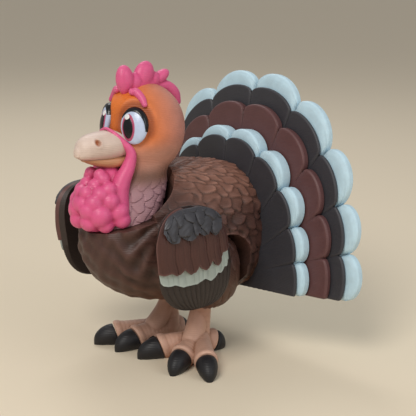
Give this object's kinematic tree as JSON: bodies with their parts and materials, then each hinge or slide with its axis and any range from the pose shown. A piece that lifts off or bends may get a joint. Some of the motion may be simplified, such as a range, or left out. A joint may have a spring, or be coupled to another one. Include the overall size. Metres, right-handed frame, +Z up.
{
  "type": "turkey figure",
  "caption": "Standing turkey figure with a scalloped tail fan, a head that turns, wings that turn at the shoulder and legs that swing at the hip.",
  "frame": {"origin": "on the ground under the middle of the bounding box", "axes": "+Z up, the turkey faces -Y and its left side is +X, across the tail fan"},
  "size_m": [0.1684, 0.1262, 0.1545],
  "materials": {
    "body_brown": "satin printed plastic",
    "head_orange": "satin printed plastic",
    "eye_white": "glossy",
    "eye_crimson": "glossy",
    "eye_black": "glossy",
    "eye_glint": "glossy",
    "beak_cream": "satin printed plastic",
    "beak_tan": "satin printed plastic",
    "flesh_pink": "satin printed plastic",
    "feather_charcoal": "satin printed plastic",
    "feather_pale": "satin printed plastic",
    "feather_white": "satin printed plastic",
    "wing_brown": "satin printed plastic",
    "wing_cap_grey": "satin printed plastic",
    "fan_brown": "satin printed plastic",
    "foot_tan": "satin printed plastic",
    "claw_black": "satin printed plastic"
  },
  "bodies": {
    "trunk": {"body": "body_brown", "fan_outer_tips": "feather_white", "fan_outer_bars": "feather_charcoal", "fan_vanes": "fan_brown", "fan_inner_tips": "feather_white", "fan_inner_bars": "feather_charcoal"},
    "head": {"head_shell": "head_orange", "eye_white_left": "eye_white", "eye_iris_left": "eye_crimson", "eye_pupil_left": "eye_black", "eye_glint_left": "eye_glint", "eye_lash_left": "eye_black", "eye_white_right": "eye_white", "eye_iris_right": "eye_crimson", "eye_pupil_right": "eye_black", "eye_glint_right": "eye_glint", "eye_lash_right": "eye_black", "beak_upper": "beak_cream", "beak_lower": "beak_tan", "comb": "flesh_pink", "brow_left": "flesh_pink", "brow_right": "flesh_pink", "snood_wattle": "flesh_pink"},
    "left_wing": {"wing_primaries_left": "feather_charcoal", "wing_band_left": "feather_pale", "wing_coverts_left": "wing_brown", "wing_cap_left": "wing_cap_grey"},
    "right_wing": {"wing_primaries_right": "feather_charcoal", "wing_band_right": "feather_pale", "wing_coverts_right": "wing_brown", "wing_cap_right": "wing_cap_grey"},
    "left_leg": {"thigh_left": "body_brown", "foot_left": "foot_tan", "claw_inner_left": "claw_black", "claw_middle_left": "claw_black", "claw_outer_left": "claw_black", "claw_hind_left": "claw_black"},
    "right_leg": {"thigh_right": "body_brown", "foot_right": "foot_tan", "claw_small_right": "claw_black", "claw_middle_right": "claw_black", "claw_outer_right": "claw_black", "claw_hind_right": "claw_black"}
  },
  "joints": [
    {"name": "neck_turn", "type": "hinge", "parent": "trunk", "child": "head", "pos_m": [0, -0.034, 0.0805], "axis": [0, -0.2588, 0.9659], "range_deg": [-45, 45]},
    {"name": "wing_left_turn", "type": "hinge", "parent": "trunk", "child": "left_wing", "pos_m": [0.03812, -0.02819, 0.0733], "axis": [0.9976, -0.0698, 0], "range_deg": [-45, 110]},
    {"name": "wing_right_turn", "type": "hinge", "parent": "trunk", "child": "right_wing", "pos_m": [-0.03812, -0.02819, 0.0733], "axis": [0.9976, 0.0698, 0], "range_deg": [-45, 110]},
    {"name": "hip_left_swing", "type": "hinge", "parent": "trunk", "child": "left_leg", "pos_m": [0.0194, 0.004, 0.048], "axis": [1, 0, 0], "range_deg": [-25, 25]},
    {"name": "hip_right_swing", "type": "hinge", "parent": "trunk", "child": "right_leg", "pos_m": [-0.0194, 0.004, 0.048], "axis": [1, 0, 0], "range_deg": [-25, 25]}
  ]
}
